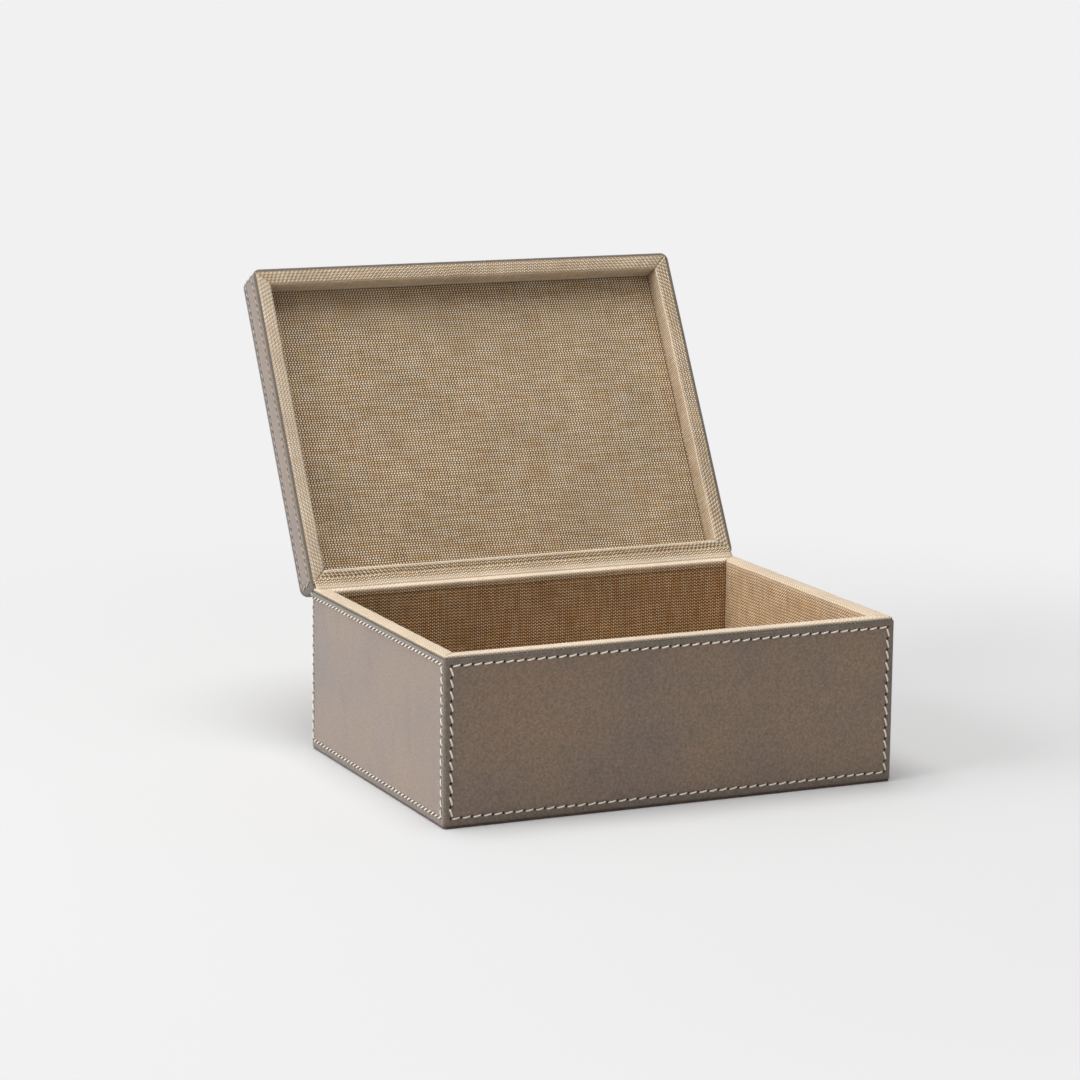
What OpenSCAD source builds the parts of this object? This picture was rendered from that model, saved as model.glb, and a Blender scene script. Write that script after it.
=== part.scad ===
// Hinged box for papers: boards covered with stitched leather outside and woven linen inside.
// The origin is the middle of the underside, +X to the right, the front faces -Y, and +Z is up.

/* [Box] */
// Outside width, left to right
box_w = 260; // [200:1:340]
// Outside depth of the base, front to back
box_d = 186; // [140:1:260]
// Height of the base from the table to its leather edge
base_h = 89; // [60:1:140]
// Height of the lid from its leather edge to its top
lid_h = 18.8; // [18:0.2:40]
// How far the shut lid reaches past the base's front, to lift it by
lid_over = 3; // [0:0.5:4]
// How far the lid stands open, measured from closed
lid_angle = 119.3; // [100:0.1:130]

/* [Walls] */
// Thickness of the leather panels
leather_t = 2; // [1.6:0.1:2.4]
// Thickness of the four side boards
board_t = 6.4; // [5:0.1:8]
// Thickness of the board under the base
bottom_board_t = 5; // [3:0.1:8]
// Thickness of the board in the lid's top
top_board_t = 3.1; // [2.5:0.1:4]
// Thickness of the linen lining, with the card that it is drawn over
linen_t = 1.2; // [0.8:0.1:1.6]
// How far the linen rim stands past the leather edge
rim_rise = 0.4; // [0.2:0.1:0.5]
// Thickness of the leather sheet under the base
underside_t = 1.2; // [0.8:0.1:2]

/* [Corners] */
// Outer radius of the base's upright corners
base_corner_r = 1.8; // [1:0.1:2]
// Outer radius of the lid's upright corners
lid_corner_r = 4.5; // [2:0.1:4.5]
// Rounding of a leather panel's burnished edges
burnish_r = 0.7; // [0.3:0.1:1]
// Rounding of the boards under the rolled linen rim
board_ease_r = 1.3; // [0.5:0.1:2]

/* [Hinge] */
// Gap between the two leather edges when the lid is shut
hinge_gap = 1.3; // [1.2:0.1:1.8]
// Thickness of the leather spine that is tucked behind the back panels
spine_t = 0.8; // [0.6:0.1:1]
// How far the spine reaches behind each back panel
spine_tuck = 11; // [6:0.5:12]
// Thickness of the linen strip over the two back rims
strip_t = 0.6; // [0.4:0.1:0.8]

/* [Stitching] */
// Distance from hole to hole on the front, back and top panels
stitch_pitch = 5.9; // [5:0.1:8]
// The same in the level rows of the two side panels, which are sewn finer
side_row_pitch = 4.5; // [4:0.1:8]
// The same in the upright rows of the two side panels
side_column_pitch = 5.3; // [4:0.1:8]
// Distance of a stitched row from the panel's edge
stitch_inset = 4.5; // [3.5:0.1:6]
// The same on the narrow panels round the lid
lid_stitch_inset = 3.8; // [3.5:0.1:4.5]
// Part of the distance between two holes that shows thread
thread_share = 0.77; // [0.6:0.01:0.8]
// Width of the waxed thread
thread_w = 0.85; // [0.5:0.05:1]
// How far the thread stands above the leather
thread_rise = 0.4; // [0.2:0.05:0.5]
// Width of a pricked hole, corner to corner
hole_w = 1.3; // [0.8:0.1:1.4]
// Slant of a stitch in a level row
row_slant = 10; // [0:1:20]
// Slant of a stitch in an upright row
column_slant = 18; // [0:1:25]

/* [Hidden] */
$fn = 48;

// Sides are numbered anticlockwise, seen from above
front = 0;
right = 1;
back = 2;
left = 3;

// A tray is the base or the lid: its height, the thickness of its outer cover and of its floor board, its depth
lid_d = box_d + lid_over;
base_tray = [base_h, underside_t, bottom_board_t, box_d];
lid_tray = [lid_h, leather_t, top_board_t, lid_d];
function panel_h(tray) = tray[0] - tray[1];
function floor_depth(tray) = tray[0] - tray[1] - tray[2];

wall_t = leather_t + board_t + linen_t;
rim_r = board_ease_r + linen_t;
// The floor linings and the underside sheet lie this far inside what surrounds them
slip = 0.1;
// The hinge strips lie this far clear of what is round them
hinge_play = 0.05;
underside_inset = 0.4;
over = 1;

hinge_y = box_d / 2;
hinge_z = base_h + hinge_gap;
strip_w = box_w - 2 * wall_t - 2;
spine_w = box_w - 2 * leather_t - 2 * board_t;

leather_grey = "#8C8177";
edge_grey = "#6B6A62";
board_brown = "#A5845C";
linen_tan = "#B9A284";
linen_cream = "#D8CAB0";
thread_cream = "#E9E2D2";

// Lengths and distances of one side

// Length of the wall on a side, and distance of its outer face from the middle
function span(side, tray) = side % 2 == 0 ? box_w : tray[3];
function reach(side, tray) = (side % 2 == 0 ? tray[3] : box_w) / 2;

// How far the rim is lowered on a side, to take the linen strip on the back walls
function rim_drop(side) = side == back ? strip_t + hinge_play : 0;
// What the leather spine takes from the outer face of a board
function tuck_t(side) = side == back ? spine_t + 2 * hinge_play : 0;
// Where the board under the rim starts, from the leather edge inwards
function board_start(side) = linen_t - rim_rise + rim_drop(side);

// Places

module on_side(side) rotate([0, 0, 90 * side]) children();

// Turns a flat shape drawn as (right, up) on to the outer face of a side
module on_face(side, tray, z) on_side(side) translate([0, -reach(side, tray), z]) rotate([90, 0, 0]) children();

// Draws a section, given as (inwards, up), along the whole wall
module along_wall(length) rotate([90, 0, 90]) linear_extrude(length, center = true) children();

// A tray is drawn with its leather edge at zero and its floor upwards, as the lid lies when shut
module base_place() translate([0, 0, base_h]) mirror([0, 0, 1]) children();
module lid_place()
  translate([0, hinge_y, hinge_z]) rotate([-lid_angle, 0, 0]) translate([0, -lid_d / 2, 0]) children();

// Flat shapes

module rounded_plan(w, d, r) {
  square([w, d - 2 * r], center = true);
  square([w - 2 * r, d], center = true);
  for (x = [-1, 1], y = [-1, 1])
    translate([x * (w / 2 - r), y * (d / 2 - r)]) circle(r);
}

// Plan of a wall layer from depth a to depth b, mitred at both ends
module mitred_plan(side, tray, a, b) {
  s = span(side, tray) / 2;
  q = reach(side, tray);
  polygon([[-s + a, -q + a], [s - a, -q + a], [s - b, -q + b], [-s + b, -q + b]]);
}

// Section of a wall layer whose inner corner at the rim is rounded: x inwards, y away from the rim
module eased_section(w, h, r) {
  translate([0, r]) square([w, h - r]);
  square([w - r, h]);
  translate([w - r, r]) circle(r);
}

// Section of a leather panel with both outer corners burnished round: x inwards
module burnished_section(w, h, r) {
  translate([0, r]) square([w, h - 2 * r]);
  translate([r, 0]) square([w - r, h]);
  for (y = [r, h - r]) translate([r, y]) circle(r);
}

// Stitching

// One saddle stitch, lying along x
module stitch_outline(length) {
  x = length / 2;
  y = thread_w / 2;
  polygon([[-x, 0], [-x + y, y], [x - y, y], [x, 0], [x - y, -y], [-x + y, -y]]);
}

function row_count(side, length) = round(length / (side % 2 == 0 ? stitch_pitch : side_row_pitch));
function column_count(side, length) = round(length / (side % 2 == 0 ? stitch_pitch : side_column_pitch));

// Stitches round a rectangle, slanted the same way in every level row and in every upright row
module stitch_ring(side, w, h) {
  across = row_count(side, w);
  up = column_count(side, h);
  for (i = [0:across - 1], y = [-h / 2, h / 2])
    translate([(i + 0.5) * w / across - w / 2, y]) rotate(row_slant) stitch_outline(thread_share * w / across);
  for (i = [0:up - 1], x = [-w / 2, w / 2])
    translate([x, (i + 0.5) * h / up - h / 2]) rotate(90 + column_slant) stitch_outline(thread_share * h / up);
}

// Diamond holes between those stitches, as a pricking iron leaves them
module hole_ring(side, w, h) {
  across = row_count(side, w);
  up = column_count(side, h);
  for (i = [0:across], y = [-h / 2, h / 2])
    translate([i * w / across - w / 2, y]) circle(d = hole_w, $fn = 4);
  for (i = [1:up - 1], x = [-w / 2, w / 2])
    translate([x, i * h / up - h / 2]) circle(d = hole_w, $fn = 4);
}

module stitches() color(thread_cream) linear_extrude(thread_rise) children();
module holes() translate([0, 0, -leather_t - over]) linear_extrude(leather_t + 2 * over) children();

// Leather panels: mitred, burnished along their edges and pricked all round

module side_leather(side, tray, corner_r, inset) {
  h = panel_h(tray);
  color(leather_grey)
  difference() {
    on_side(side) intersection() {
      linear_extrude(h) intersection() {
        mitred_plan(side, tray, 0, leather_t);
        rounded_plan(span(side, tray), 2 * reach(side, tray), corner_r);
      }
      along_wall(span(side, tray)) translate([-reach(side, tray), 0]) burnished_section(leather_t, h, burnish_r);
    }
    on_face(side, tray, h / 2) holes() hole_ring(side, span(side, tray) - 2 * inset, h - 2 * inset);
  }
}

module side_stitches(side, tray, inset) on_face(side, tray, panel_h(tray) / 2)
  stitches() stitch_ring(side, span(side, tray) - 2 * inset, panel_h(tray) - 2 * inset);

module base_leather(side) translate([0, 0, underside_t]) side_leather(side, base_tray, base_corner_r, stitch_inset);
module base_stitches(side) translate([0, 0, underside_t]) side_stitches(side, base_tray, stitch_inset);
module lid_leather(side) lid_place() side_leather(side, lid_tray, lid_corner_r, lid_stitch_inset);
module lid_stitches(side) lid_place() side_stitches(side, lid_tray, lid_stitch_inset);

// Boards: the front and back ones run the full width, and the side ones stand between them

module side_board(side, tray) {
  ends = leather_t + (side % 2 == 0 ? 0 : board_t);
  start = board_start(side);
  color(board_brown) on_side(side) difference() {
    along_wall(span(side, tray) - 2 * ends) translate([leather_t - reach(side, tray), start])
      eased_section(board_t, floor_depth(tray) - start, board_ease_r);
    if (tuck_t(side) > 0)
      translate([-spine_w / 2 - over, leather_t - reach(side, tray) - over, start - over])
        cube([spine_w + 2 * over, over + tuck_t(side), over + spine_tuck]);
  }
}

module floor_board(tray) color(board_brown)
  translate([0, 0, floor_depth(tray) + tray[2] / 2])
    cube([box_w - 2 * leather_t, tray[3] - 2 * leather_t, tray[2]], center = true);

// Linen linings: a leaf up the inside of the wall, rolled over the board to the leather edge

module lining_section(side, tray) {
  leaf_h = floor_depth(tray) - linen_t;
  outer = tuck_t(side);
  top = rim_drop(side) - rim_rise;
  difference() {
    translate([outer, top]) eased_section(board_t + linen_t - outer, leaf_h - top, rim_r);
    translate([-over, top + linen_t]) eased_section(board_t + over, leaf_h + over, board_ease_r);
  }
}

module side_lining(side, tray) color(linen_tan) on_side(side) intersection() {
  along_wall(span(side, tray)) translate([leather_t - reach(side, tray), 0]) lining_section(side, tray);
  translate([0, 0, -over]) linear_extrude(tray[0]) mitred_plan(side, tray, leather_t, wall_t);
}

module floor_lining(tray) {
  inner = 2 * (leather_t + board_t + slip);
  color(linen_tan) translate([0, 0, floor_depth(tray) - linen_t / 2])
    cube([box_w - inner, tray[3] - inner, linen_t], center = true);
}

// Outer covers

module base_underside() color(edge_grey) linear_extrude(underside_t)
  rounded_plan(box_w - 2 * underside_inset, box_d - 2 * underside_inset, base_corner_r);

module lid_leather_top()
  color(leather_grey) lid_place() translate([0, 0, lid_h - leather_t]) difference() {
    intersection() {
      linear_extrude(leather_t) rounded_plan(box_w, lid_d, lid_corner_r);
      along_wall(box_w) top_section(lid_d);
      rotate([0, 0, 90]) along_wall(lid_d) top_section(box_w);
    }
    translate([0, 0, leather_t]) holes() hole_ring(front, box_w - 2 * stitch_inset, lid_d - 2 * stitch_inset);
  }

// Section across the top panel, with both upper corners burnished round
module top_section(w) {
  translate([-w / 2, 0]) square([w, leather_t - burnish_r]);
  translate([burnish_r - w / 2, 0]) square([w - 2 * burnish_r, leather_t]);
  for (x = [-1, 1]) translate([x * (w / 2 - burnish_r), leather_t - burnish_r]) circle(burnish_r);
}

module lid_stitches_top() lid_place() translate([0, 0, lid_h])
  stitches() stitch_ring(front, box_w - 2 * stitch_inset, lid_d - 2 * stitch_inset);

// Hinge: two flexible strips that cross from the base to the lid side by side.
// Their sections are drawn as (back, up), each with three stretches: on the base, across, on the lid.

function turned(v) = [-v.x * cos(lid_angle) + v.y * sin(lid_angle), v.x * sin(lid_angle) + v.y * cos(lid_angle)];
// A point of the shut lid, as (forwards from the hinge, up from it), where the open lid holds it
function lid_point(v) = [hinge_y, hinge_z] + turned(v);
function cross_2d(a, b) = a.x * b.y - a.y * b.x;
// Where the line through p along a meets the line through q along b
function meet(p, a, q, b) = p + a * cross_2d(q - p, b) / cross_2d(a, b);

// The crossing runs beside the line from the base's leather to the lid's leather
crossing_start = [hinge_y - leather_t, base_h];
crossing_end = lid_point([leather_t, 0]);
crossing_way = (crossing_end - crossing_start) / norm(crossing_end - crossing_start);
crossing_normal = [-crossing_way.y, crossing_way.x];

// Corners of one face of the spine, at a depth below the leather
function spine_face(below) =
  let (depth = hinge_play + below)
  let (beside = crossing_start + crossing_normal * depth)
  let (base_end = [hinge_y - leather_t - depth, base_h - spine_tuck + 1])
  let (lid_end = lid_point([leather_t + depth, spine_tuck - 1]))
  [
    base_end,
    meet(base_end, [0, 1], beside, crossing_way),
    meet(lid_end, turned([0, 1]), beside, crossing_way),
    lid_end
  ];

// Corners of one face of the linen strip, at a height below the rims
function strip_face(depth) =
  let (beside = crossing_start + crossing_normal * (2 * hinge_play + spine_t + strip_t - depth))
  let (base_end = [hinge_y - wall_t + rim_r, base_h + rim_rise - depth])
  let (lid_end = lid_point([wall_t - rim_r, depth - rim_rise]))
  [
    base_end,
    meet(base_end, [1, 0], beside, crossing_way),
    meet(lid_end, turned([1, 0]), beside, crossing_way),
    lid_end
  ];

function reversed(list) = [for (i = [len(list) - 1:-1:0]) list[i]];

module hinge_spine() color(leather_grey)
  along_wall(spine_w) polygon(concat(spine_face(0), reversed(spine_face(spine_t))));

module hinge_linen() color(linen_cream)
  along_wall(strip_w) polygon(concat(strip_face(0), reversed(strip_face(strip_t))));

// Sub-parts

module base_board_front() base_place() side_board(front, base_tray);
module base_board_right() base_place() side_board(right, base_tray);
module base_board_back() base_place() side_board(back, base_tray);
module base_board_left() base_place() side_board(left, base_tray);
module base_board_bottom() base_place() floor_board(base_tray);
module base_leather_front() base_leather(front);
module base_leather_right() base_leather(right);
module base_leather_back() base_leather(back);
module base_leather_left() base_leather(left);
module base_lining_front() base_place() side_lining(front, base_tray);
module base_lining_right() base_place() side_lining(right, base_tray);
module base_lining_back() base_place() side_lining(back, base_tray);
module base_lining_left() base_place() side_lining(left, base_tray);
module base_lining_floor() base_place() floor_lining(base_tray);
module base_stitches_front() base_stitches(front);
module base_stitches_right() base_stitches(right);
module base_stitches_back() base_stitches(back);
module base_stitches_left() base_stitches(left);

module lid_board_front() lid_place() side_board(front, lid_tray);
module lid_board_right() lid_place() side_board(right, lid_tray);
module lid_board_back() lid_place() side_board(back, lid_tray);
module lid_board_left() lid_place() side_board(left, lid_tray);
module lid_board_top() lid_place() floor_board(lid_tray);
module lid_leather_front() lid_leather(front);
module lid_leather_right() lid_leather(right);
module lid_leather_back() lid_leather(back);
module lid_leather_left() lid_leather(left);
module lid_lining_front() lid_place() side_lining(front, lid_tray);
module lid_lining_right() lid_place() side_lining(right, lid_tray);
module lid_lining_back() lid_place() side_lining(back, lid_tray);
module lid_lining_left() lid_place() side_lining(left, lid_tray);
module lid_lining_ceiling() lid_place() floor_lining(lid_tray);
module lid_stitches_front() lid_stitches(front);
module lid_stitches_right() lid_stitches(right);
module lid_stitches_back() lid_stitches(back);
module lid_stitches_left() lid_stitches(left);

base_board_front();
base_board_right();
base_board_back();
base_board_left();
base_board_bottom();
base_leather_front();
base_leather_right();
base_leather_back();
base_leather_left();
base_underside();
base_lining_front();
base_lining_right();
base_lining_back();
base_lining_left();
base_lining_floor();
base_stitches_front();
base_stitches_right();
base_stitches_back();
base_stitches_left();
lid_board_front();
lid_board_right();
lid_board_back();
lid_board_left();
lid_board_top();
lid_leather_front();
lid_leather_right();
lid_leather_back();
lid_leather_left();
lid_leather_top();
lid_lining_front();
lid_lining_right();
lid_lining_back();
lid_lining_left();
lid_lining_ceiling();
lid_stitches_front();
lid_stitches_right();
lid_stitches_back();
lid_stitches_left();
lid_stitches_top();
hinge_spine();
hinge_linen();
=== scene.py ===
from math import cos, exp, pi, radians, sin, sqrt

import bmesh
import bpy
from mathutils import Matrix, Vector, noise


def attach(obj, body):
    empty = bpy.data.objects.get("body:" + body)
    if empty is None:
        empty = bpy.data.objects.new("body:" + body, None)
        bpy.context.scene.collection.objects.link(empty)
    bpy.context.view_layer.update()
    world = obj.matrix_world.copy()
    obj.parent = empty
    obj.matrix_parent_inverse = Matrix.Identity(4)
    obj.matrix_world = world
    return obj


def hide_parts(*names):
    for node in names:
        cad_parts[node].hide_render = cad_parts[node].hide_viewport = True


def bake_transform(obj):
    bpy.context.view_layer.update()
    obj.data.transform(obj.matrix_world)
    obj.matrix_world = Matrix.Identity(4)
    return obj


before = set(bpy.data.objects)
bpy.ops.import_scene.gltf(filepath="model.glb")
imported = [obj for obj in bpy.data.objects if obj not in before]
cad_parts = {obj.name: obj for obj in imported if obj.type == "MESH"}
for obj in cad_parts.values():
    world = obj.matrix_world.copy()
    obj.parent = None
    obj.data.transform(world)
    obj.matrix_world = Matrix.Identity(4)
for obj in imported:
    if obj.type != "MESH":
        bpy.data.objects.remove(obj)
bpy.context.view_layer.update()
noise.seed_set(1)  # without it the stitches would differ a little from run to run
print("frame loaded")

# Sizes of the box in millimetres, as the frame has them
box = {
    "width": 260.0,
    "depth": 186.0,
    "height": 89.0,
    "lidHeight": 18.8,
    "lidDepth": 189.0,
    "lidAngle": 119.3,
    "leather": 2.0,
    "board": 6.4,
    "linen": 1.2,
    "rimRise": 0.4,
    "underside": 1.2,
    "floorBoard": 5.0,
    "topBoard": 3.1,
    "hingeGap": 1.3,
}
wallDepth = box["leather"] + box["board"] + box["linen"]
sideNames = ["Front", "Right", "Back", "Left"]

# A tray is drawn with its leather edge at zero and its floor upwards: the base is turned over, the lid is not
trays = {
    "base": {
        "body": "base",
        "depth": box["depth"],
        "panel": box["height"] - box["underside"],
        "floor": box["height"] - box["underside"] - box["floorBoard"],
        "cornerRadius": 1.8,
        "inset": 4.1,
        "rowInset": 4.25,
        "turned": True,
        "rise": 0.8,
        "roll": 2.2,
        # painted light on the lining's rims, partly wear
        "rubbedAndLit": [0.56, 0.42, 0.55, 0.46],
        # painted highlight on the ridge where the rim rolls into the wall
        "ridgeHighlight": 0.5,
        # edge paint, partly painted shade: full and dark on the base, whose rim edge lies in shade
        "edgePaintAndShade": 1.0,
        # painted shade: how dark the pricked holes are painted
        "pricked": 1.0,
        "opened": 1.0,
        "lowered": 0.9,
        "overlap": 0.9,
        "seed": 0,
        "place": Matrix.Translation((0, 0, box["height"])) @ Matrix.Diagonal((1, 1, -1, 1)),
    },
    "lid": {
        "body": "lid",
        "depth": box["lidDepth"],
        "panel": box["lidHeight"] - box["leather"],
        "floor": box["lidHeight"] - box["leather"] - box["topBoard"],
        "cornerRadius": 4.5,
        "inset": 3.8,
        "rowInset": 2.6,
        "turned": False,
        "rise": 0.35,
        "roll": 1.3,
        # painted light on the lid's rims, strongest on the left side, which faces the side lamp; partly wear
        "rubbedAndLit": [0.16, 0.12, 0.2, 0.36],
        # painted highlight on the lid's ridge
        "ridgeHighlight": 0.5,
        # little edge paint on the lid, whose edges catch the light: the difference from the base is painted
        # shade
        "edgePaintAndShade": 0.12,
        # only faint painted shade in the lid's holes
        "pricked": 0.25,
        "opened": 1.08,
        "lowered": 0.0,
        "overlap": 0.25,
        "seed": 10,
        "place": Matrix.Translation((0, box["depth"] / 2, box["height"] + box["hingeGap"]))
        @ Matrix.Rotation(radians(-box["lidAngle"]), 4, "X")
        @ Matrix.Translation((0, -box["lidDepth"] / 2, 0)),
    },
}


def span(tray, side):
    return box["width"] if side % 2 == 0 else tray["depth"]


def reach(tray, side):
    return (tray["depth"] if side % 2 == 0 else box["width"]) / 2


# Takes a point of a wall, as (along, inwards from the outer face, away from the rim), to metres in the frame
def wallPoint(tray, side, along, inwards, away):
    point = Vector((along, inwards - reach(tray, side), away))
    return tray["place"] @ (Matrix.Rotation(side * pi / 2, 4, "Z") @ point) * 0.001


def smoothStep(low, high, value):
    t = min(1.0, max(0.0, (value - low) / (high - low)))
    return t * t * (3 - 2 * t)


# Slow unevenness from -1 to 1, the same in every run
def uneven(x, y, size, seed):
    return noise.noise(Vector((x / size, y / size, seed * 7.31)))


def makePiece(bm, name, material, body, stands, sharp=40):
    mesh = bpy.data.meshes.new(name)
    bm.to_mesh(mesh)
    bm.free()
    mesh.shade_smooth()
    mesh.set_sharp_from_angle(angle=radians(sharp))
    mesh.materials.append(material)
    piece = bpy.data.objects.new(name, mesh)
    bpy.context.scene.collection.objects.link(piece)
    if body:
        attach(piece, body)
    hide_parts(*stands)
    return piece


# Materials

def srgb(hexColour, alpha=1.0):
    values = [int(hexColour[i : i + 2], 16) / 255 for i in (1, 3, 5)]
    linear = [v / 12.92 if v <= 0.04045 else ((v + 0.055) / 1.055) ** 2.4 for v in values]
    return (*linear, alpha)


# Adds a node: a setting is a socket, by name or number, or else a property; a link goes from another node's
# output to a socket
def addNode(tree, kind, settings=None, links=None):
    node = tree.nodes.new(kind)
    for key, value in (settings or {}).items():
        if isinstance(key, int) or key in node.inputs:
            node.inputs[key].default_value = value
        else:
            setattr(node, key, value)
    for key, source in (links or {}).items():
        tree.links.new(source, node.inputs[key])
    return node


def newMaterial(name):
    material = bpy.data.materials.new(name)
    material.use_nodes = True
    tree = material.node_tree
    tree.nodes.clear()
    return material, tree


def closeMaterial(tree, shader):
    addNode(tree, "ShaderNodeOutputMaterial", {}, {"Surface": shader.outputs[0]})


# A colour between two by a share; each is a hex colour or an output
def mixColours(tree, share, first, second):
    settings, links = {"data_type": "RGBA"}, {0: share}
    for socket, colour in ((6, first), (7, second)):
        if isinstance(colour, str):
            settings[socket] = srgb(colour)
        else:
            links[socket] = colour
    return addNode(tree, "ShaderNodeMix", settings, links).outputs[2]


leatherLook = {
    "cloudSize": 62.0,
    "patchSize": 17.0,
    "poreSize": 1.3,
    "fieldColours": ["#7B695E", "#85705E", "#8C745D"],
    "marginColour": "#72665A",
    # grey-green edge paint, darkened as painted shade
    "edgeColour": "#45443A",
    # painted shade in the pricked holes
    "holeShadeColour": "#050403",
    "roughness": 0.44,
    "sheen": 0.78,
}


# Waxed full-grain hide, vegetable tanned and dyed through: cloudy and satin, with fine pores, greyer in the
# margin outside the stitches, painted grey-green on the cut edge and darkened there as painted shade, and
# near-black in the pricked holes as painted shade
def makeLeather(name, look):
    material, tree = newMaterial(name)
    place = addNode(tree, "ShaderNodeTexCoord").outputs["Object"]
    cloud = addNode(
        tree,
        "ShaderNodeTexNoise",
        {"Scale": 1000 / look["cloudSize"], "Detail": 3.0, "Roughness": 0.55},
        {"Vector": place},
    )
    patch = addNode(
        tree,
        "ShaderNodeTexNoise",
        {"Scale": 1000 / look["patchSize"], "Detail": 4.0, "Roughness": 0.6},
        {"Vector": place},
    )
    pores = addNode(
        tree,
        "ShaderNodeTexNoise",
        {"Scale": 1000 / look["poreSize"], "Detail": 2.0, "Roughness": 0.7},
        {"Vector": place},
    )
    cells = addNode(
        tree,
        "ShaderNodeTexVoronoi",
        {"feature": "SMOOTH_F1", "Scale": 1000 / (look["poreSize"] * 0.9), "Smoothness": 0.4},
        {"Vector": place},
    )
    blend = addNode(
        tree,
        "ShaderNodeMath",
        {"operation": "MULTIPLY_ADD", 1: 0.35},
        {0: patch.outputs["Fac"], 2: cloud.outputs["Fac"]},
    )
    ramp = addNode(tree, "ShaderNodeValToRGB", {}, {"Fac": blend.outputs[0]})
    ramp.color_ramp.elements[0].position = 0.46
    ramp.color_ramp.elements[0].color = srgb(look["fieldColours"][0])
    ramp.color_ramp.elements[1].position = 0.9
    ramp.color_ramp.elements[1].color = srgb(look["fieldColours"][2])
    middle = ramp.color_ramp.elements.new(0.67)
    middle.color = srgb(look["fieldColours"][1])
    colour = ramp.outputs["Color"]
    # margin and edge paint are the leather's own, the edge partly painted shade; the near-black in the holes
    # is painted shade
    for attribute, hexColour in (
        ("margin", look["marginColour"]),
        ("edge", look["edgeColour"]),
        ("prick", look["holeShadeColour"]),
    ):
        share = addNode(tree, "ShaderNodeAttribute", {"attribute_name": attribute})
        colour = mixColours(tree, share.outputs["Fac"], colour, hexColour)
    speckle = addNode(
        tree,
        "ShaderNodeMapRange",
        {"From Min": 0.25, "From Max": 0.75, "To Min": 0.66, "To Max": 1.34},
        {"Value": pores.outputs["Fac"]},
    )
    toned = addNode(
        tree,
        "ShaderNodeVectorMath",
        {"operation": "SCALE"},
        {0: colour, "Scale": speckle.outputs["Result"]},
    )
    rough = addNode(
        tree,
        "ShaderNodeMapRange",
        {"To Min": look["roughness"] - 0.07, "To Max": look["roughness"] + 0.09},
        {"Value": patch.outputs["Fac"]},
    )
    # the painted edge has no nap
    edgePaintAndShade = addNode(tree, "ShaderNodeAttribute", {"attribute_name": "edge"})
    nap = addNode(
        tree,
        "ShaderNodeMapRange",
        {"To Min": look["sheen"], "To Max": 0.0},
        {"Value": edgePaintAndShade.outputs["Fac"]},
    )
    grain = addNode(
        tree,
        "ShaderNodeBump",
        {"Strength": 0.35, "Distance": 0.00008},
        {"Height": cells.outputs["Distance"]},
    )
    creases = addNode(
        tree,
        "ShaderNodeBump",
        {"Strength": 0.3, "Distance": 0.0004},
        {"Height": patch.outputs["Fac"], "Normal": grain.outputs[0]},
    )
    shader = addNode(
        tree,
        "ShaderNodeBsdfPrincipled",
        {
            "IOR": 1.5,
            "Coat Weight": 0.06,
            "Coat Roughness": 0.3,
            "Sheen Roughness": 0.35,
            "Sheen Tint": srgb("#E4F0FF"),
        },
        {
            "Base Color": toned.outputs[0],
            "Roughness": rough.outputs["Result"],
            "Normal": creases.outputs[0],
            "Sheen Weight": nap.outputs["Result"],
        },
    )
    closeMaterial(tree, shader)
    return material


linenLook = {
    "warpPitch": 0.86,
    "weftPitch": 1.26,
    "pairing": 0.45,
    "rowGap": 0.55,
    "pairGap": 0.65,
    "warpColours": ["#8A6840", "#BC9766"],
    "weftColours": ["#EACFA8", "#FFF4DE"],
    # rims and folds are lightened towards this colour as painted light, partly wear
    "rubbedLitColour": "#F6E5D0",
    # painted shade between the threads
    "gapShadeColour": "#3A2411",
    "slubLength": 16.0,
    "slubThreads": 1.6,
    "drift": 0.4,
    "driftSize": 26.0,
    "wearSize": 40.0,
    "relief": 0.25,
}
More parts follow.
